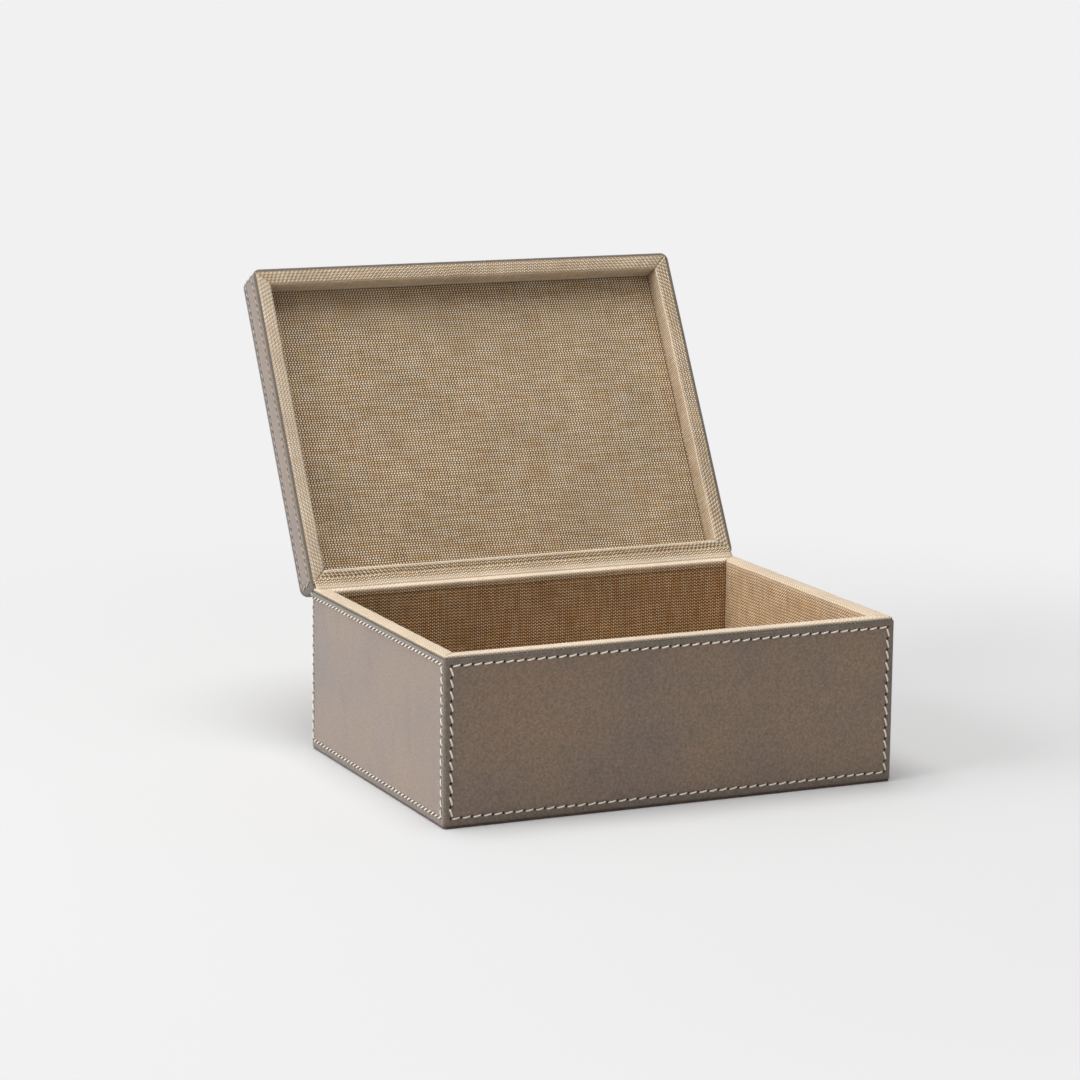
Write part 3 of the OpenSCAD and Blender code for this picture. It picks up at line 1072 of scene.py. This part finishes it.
for trayName, tray in trays.items():
    for side, sideName in enumerate(sideNames):
        bm, length = wallLining(tray, side, side + (8 if trayName == "lid" else 1))
        inside = wallPoint(tray, side, 0, wallDepth, tray["floor"] / 2)
        inwardsWay = wallPoint(tray, side, 0, wallDepth + 10, tray["floor"] / 2) - inside
        piece = clothPiece(
            bm,
            f"{trayName}Linen{sideName}",
            shadedLinen if trayName == "base" else naturalLinen,
            tray["body"],
            [f"{trayName}_lining_{sideName.lower()}"],
            liningShape["thickness"],
            (inside, inwardsWay),
        )
        flat = ((span(tray, side) - 2 * box["leather"]) * 0.001, length * 0.001)
print("wall linings made")


floorShape = {"columns": 96, "rows": 72, "gap": 0.1, "fadeWidth": 12.0, "sink": 0.22, "sinkSize": 33.0}


def floorLining(tray, seed):
    shape = floorShape
    bm = bmesh.new()
    halfX = box["width"] / 2 - box["leather"] - box["board"] - shape["gap"]
    halfY = tray["depth"] / 2 - box["leather"] - box["board"] - shape["gap"]
    bmesh.ops.create_grid(bm, x_segments=shape["columns"], y_segments=shape["rows"], size=0.5)
    spots = {}
    for vert in bm.verts:
        x, y = vert.co.x * 2 * halfX, vert.co.y * 2 * halfY
        spots[vert.index] = (x, y)
        fade = min(1.0, (halfX - abs(x)) / shape["fadeWidth"], (halfY - abs(y)) / shape["fadeWidth"])
        away = tray["floor"] - box["linen"]
        away -= shape["sink"] * fade * (1 + uneven(x, y, shape["sinkSize"], seed)) / 2
        vert.co = tray["place"] @ Vector((x, y, away)) * 0.001
    layCloth(bm, spots, True, 0.0, tray["opened"])
    return bm, (2 * halfX * 0.001, 2 * halfY * 0.001)


for trayName, nodeName, pieceName in (
    ("base", "base_lining_floor", "baseLinenFloor"),
    ("lid", "lid_lining_ceiling", "lidLinenCeiling"),
):
    tray = trays[trayName]
    bm, flat = floorLining(tray, 5 if trayName == "base" else 6)
    centre = tray["place"] @ Vector((0, 0, tray["floor"] - box["linen"])) * 0.001
    outwards = tray["place"] @ Vector((0, 0, tray["floor"] - box["linen"] - 5)) * 0.001 - centre
    linen = shadedLinen if trayName == "base" else naturalLinen
    piece = clothPiece(
        bm,
        pieceName,
        linen,
        tray["body"],
        [nodeName],
        box["linen"] - floorShape["gap"],
        (centre, outwards),
    )
print("floor linings made")

# Hinge: a leather spine and a linen strip, whose sections are drawn as (back, up) with the lid open

hingeShape = {
    "play": 0.05,
    "spine": 0.8,
    "strip": 0.6,
    "tuck": 10.0,
    "roll": 1.3,
    "rimEnd": 3.2,
    "columns": 128,
    "wave": 0.08,
    "waveSize": 12.0,
    # painted light, partly wear: the band over the base's back rim and the fold over the lid's rim are
    # lightened
    "rubbedAndLit": 0.55,
    "foldAt": 4.6,
    "foldHighlight": 0.75,
}
hingeAt = Vector((box["depth"] / 2, box["height"] + box["hingeGap"]))
spineWidth = box["width"] - 2 * box["leather"] - 2 * box["board"]
lidTurn = radians(box["lidAngle"])


def lidWay(x, y):
    return Vector((-x * cos(lidTurn) + y * sin(lidTurn), x * sin(lidTurn) + y * cos(lidTurn)))


crossingStart = Vector((hingeAt.x - box["leather"], box["height"]))
crossingEnd = hingeAt + lidWay(box["leather"], 0)
crossingWay = (crossingEnd - crossingStart).normalized()
crossingNormal = Vector((-crossingWay.y, crossingWay.x))


def meet(p, a, q, b):
    d = q - p
    return p + a * ((d.x * b.y - d.y * b.x) / (a.x * b.y - a.y * b.x))


def spineFace(below):
    depth = hingeShape["play"] + below
    beside = crossingStart + crossingNormal * depth
    baseEnd = Vector((hingeAt.x - box["leather"] - depth, box["height"] - hingeShape["tuck"]))
    lidEnd = hingeAt + lidWay(box["leather"] + depth, hingeShape["tuck"])
    return [
        baseEnd,
        meet(baseEnd, Vector((0, 1)), beside, crossingWay),
        meet(lidEnd, lidWay(0, 1), beside, crossingWay),
        lidEnd,
    ]


# The strip's seen face: up the back wall, over the rim, across to the lid, and over its rim into it.
# Each place goes with its distance from the outer face, because the strip's ends follow the mitres.
def stripWay():
    play, strip, spineThick = hingeShape["play"], hingeShape["strip"], hingeShape["spine"]
    beside = crossingStart + crossingNormal * (2 * play + spineThick + strip)
    places = []
    for tray, place in (
        (trays["base"], lambda x, y: Vector((hingeAt.x - x, box["height"] - y))),
        (trays["lid"], lambda x, y: hingeAt + lidWay(x, y)),
    ):
        roll, rise = min(tray["roll"], hingeShape["roll"]), box["rimRise"]
        far = liningShape["stripReach"]
        leaf = [(wallDepth, far), (wallDepth, (far + roll) / 2)]
        for step in range(7):
            a = step / 6 * pi / 2
            leaf.append((wallDepth - roll + roll * cos(a), roll - rise - roll * sin(a)))
        flat = wallDepth - roll
        leaf += [(flat - (flat - hingeShape["rimEnd"]) * t, -rise) for t in (0.25, 0.5, 0.75, 1.0)]
        bend = meet(place(0, -rise), (place(1, 0) - place(0, 0)), beside, crossingWay)
        places.append([(place(x, y), x) for x, y in leaf] + [(bend, None)])
    (corner, _), (otherCorner, _) = places[0].pop(), places[1].pop()
    middle = (corner + otherCorner) / 2
    way, depths = [p for p, _ in places[0]], [x for _, x in places[0]]
    for before, bend, after in (
        (places[0][-1][0], corner, middle),
        (middle, otherCorner, places[1][-1][0]),
    ):
        for step in range(1, 7):
            t = step / 6
            way.append(before * (1 - t) ** 2 + bend * 2 * t * (1 - t) + after * t**2)
            depths.append(2.0)
    way += [p for p, _ in reversed(places[1][:-1])]
    depths += [x for _, x in reversed(places[1][:-1])]
    return way, [max(2.0, depth) + 0.05 for depth in depths]


# The spine has square ends
def spineWay():
    way = []
    corners = spineFace(hingeShape["spine"])
    for a, b in zip(corners, corners[1:]):
        cuts = max(1, round((b - a).length / 0.7))
        way += [a + (b - a) * step / cuts for step in range(cuts)]
    way.append(corners[-1])
    return way, [(box["width"] - spineWidth) / 2] * len(way)


def stripMesh(way, depths, seed, wave):
    lengths = pathLengths(way)
    bm = bmesh.new()
    for name in ("margin", "edge", "prick"):
        bm.verts.layers.float.new(name)
    rubbedAndLit = bm.verts.layers.float.new("rubbedAndLit")
    bmesh.ops.create_grid(bm, x_segments=hingeShape["columns"], y_segments=len(way) - 1, size=0.5)
    spots = {}
    for vert in bm.verts:
        j = round((vert.co.y + 0.5) * (len(way) - 1))
        x = vert.co.x * 2 * (box["width"] / 2 - depths[j])
        fade = min(1.0, lengths[j] / 2, (lengths[-1] - lengths[j]) / 2)
        lift = wave * fade * uneven(x, lengths[j], hingeShape["waveSize"], seed)
        spots[vert.index] = (vert.co.x * 2 * (box["width"] / 2 - 2), lengths[j])
        # painted light, partly wear: the band over the base's back rim, which faces the lamp above, is
        # lightened
        retoned = 1 - smoothStep(box["height"] + 1.4, box["height"] + 4.4, way[j].y)
        retoned *= smoothStep(box["height"] - 2, box["height"], way[j].y)
        # the fold over the lid's rim lies a leaf's length before the strip's end, and is lightened there as a
        # painted highlight
        fold = max(0.0, 1 - abs(lengths[-1] - lengths[j] - hingeShape["foldAt"]) / 2)
        vert[rubbedAndLit] = max(hingeShape["rubbedAndLit"] * retoned, hingeShape["foldHighlight"] * fold)
        vert.co = Vector((x, way[j].x, way[j].y + lift)) * 0.001
    layCloth(bm, spots, False, 0.0)
    return bm, lengths[-1]


hingeCentre = Vector((0, hingeAt.x + 1.0, hingeAt.y + 0.5)) * 0.001
inFront = Vector((0, -1, 1))
way, depths = spineWay()
bm, _ = stripMesh(way, depths, 41, 0.0)
spine = clothPiece(
    bm,
    "hingeSpine",
    waxedHide,
    None,
    ["hinge_spine"],
    hingeShape["spine"],
    (hingeCentre, inFront),
)
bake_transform(spine)
way, depths = stripWay()
bm, length = stripMesh(way, depths, 42, hingeShape["wave"])
strip = clothPiece(
    bm,
    "hingeLinen",
    naturalLinen,
    None,
    ["hinge_linen"],
    hingeShape["strip"],
    (hingeCentre, inFront),
)
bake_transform(strip)
print("hinge made")

# The boards stay as the frame has them
for name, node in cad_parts.items():
    if "_board_" in name:
        node.data.materials.clear()
        node.data.materials.append(pulpBoard)

# Stage: a pale floor that fades into an even backdrop, and soft studio light from above left

stageLook = {
    "floorSize": 8.0,
    "floorColour": "#D6D6D6",
    "backgroundColour": "#F1F1F1",
    "clearRadius": 0.36,
    "fadeRadius": 0.75,
    "ambient": [0.12, 0.52],
}


# 1 for the rays that see the stage itself, straight on or in a reflection
def directRays(tree):
    rays = addNode(tree, "ShaderNodeLightPath")
    return addNode(
        tree,
        "ShaderNodeMath",
        {"operation": "MAXIMUM"},
        {0: rays.outputs["Is Camera Ray"], 1: rays.outputs["Is Glossy Ray"]},
    )


bm = bmesh.new()
bmesh.ops.create_grid(bm, x_segments=8, y_segments=8, size=stageLook["floorSize"])
mesh = bpy.data.meshes.new("floor")
bm.to_mesh(mesh)
bm.free()
floorPiece = bpy.data.objects.new("floor", mesh)
bpy.context.scene.collection.objects.link(floorPiece)
floorMaterial, tree = newMaterial("paleStudioPaper")
place = addNode(tree, "ShaderNodeTexCoord").outputs["Object"]
away = addNode(tree, "ShaderNodeVectorMath", {"operation": "LENGTH"}, {0: place})
fade = addNode(
    tree,
    "ShaderNodeMapRange",
    {
        "interpolation_type": "SMOOTHSTEP",
        "From Min": stageLook["clearRadius"],
        "From Max": stageLook["fadeRadius"],
    },
    {"Value": away.outputs["Value"]},
)
paper = addNode(tree, "ShaderNodeBsdfDiffuse", {"Color": srgb(stageLook["floorColour"])})
glow = addNode(tree, "ShaderNodeEmission", {"Color": srgb(stageLook["backgroundColour"]), "Strength": 1.0})
direct = directRays(tree)
seen = addNode(
    tree, "ShaderNodeMath", {"operation": "MULTIPLY"}, {0: fade.outputs["Result"], 1: direct.outputs[0]}
)
mixed = addNode(
    tree, "ShaderNodeMixShader", {}, {0: seen.outputs[0], 1: paper.outputs[0], 2: glow.outputs[0]}
)
closeMaterial(tree, mixed)
floorPiece.data.materials.append(floorMaterial)

world = bpy.data.worlds.new("studio")
bpy.context.scene.world = world
world.use_nodes = True
tree = world.node_tree
tree.nodes.clear()
towards = addNode(
    tree, "ShaderNodeSeparateXYZ", {}, {0: addNode(tree, "ShaderNodeTexCoord").outputs["Generated"]}
)
ambient = addNode(
    tree,
    "ShaderNodeMapRange",
    {"From Min": -1.0, "To Min": stageLook["ambient"][0], "To Max": stageLook["ambient"][1]},
    {"Value": towards.outputs[1]},
)
lit = addNode(
    tree,
    "ShaderNodeBackground",
    {"Color": srgb("#FFFFFF")},
    {"Strength": ambient.outputs["Result"]},
)
shown = addNode(
    tree,
    "ShaderNodeBackground",
    {"Color": srgb(stageLook["backgroundColour"]), "Strength": 1.0},
)
direct = directRays(tree)
mixed = addNode(
    tree, "ShaderNodeMixShader", {}, {0: direct.outputs[0], 1: lit.outputs[0], 2: shown.outputs[0]}
)
addNode(tree, "ShaderNodeOutputWorld", {}, {"Surface": mixed.outputs[0]})

lamps = {
    "top": {"at": (-0.4, 0.15, 4.0), "to": (0.0, 0.0, 0.1), "size": 3.0, "watts": 131.0, "colour": "#FFFFFF"},
    "left": {"at": (-4.2, 0.0, 1.9), "to": (0.0, 0.0, 0.1), "size": 3.4, "watts": 139.0, "colour": "#FFFFFF"},
}
for name, lamp in lamps.items():
    light = bpy.data.lights.new(name, "AREA")
    light.shape = "DISK"
    light.size = lamp["size"]
    light.energy = lamp["watts"]
    light.color = srgb(lamp["colour"])[:3]
    lampObject = bpy.data.objects.new(name, light)
    lampObject.location = lamp["at"]
    lampObject.rotation_mode = "QUATERNION"
    lampObject.rotation_quaternion = (Vector(lamp["to"]) - Vector(lamp["at"])).to_track_quat("-Z", "Y")
    bpy.context.scene.collection.objects.link(lampObject)

cameraView = {
    "at": (-0.83335, -1.74324, 0.48995),
    "turn": (79.26629, -0.56356, -24.4912),
    "lens": 121.957,
}
camera = bpy.data.cameras.new("camera")
camera.lens = cameraView["lens"]
camera.sensor_width = 36.0
cameraObject = bpy.data.objects.new("camera", camera)
cameraObject.location = cameraView["at"]
cameraObject.rotation_euler = [radians(angle) for angle in cameraView["turn"]]
bpy.context.scene.collection.objects.link(cameraObject)
bpy.context.scene.camera = cameraObject
bpy.context.scene.view_settings.view_transform = "Standard"
print("stage made")
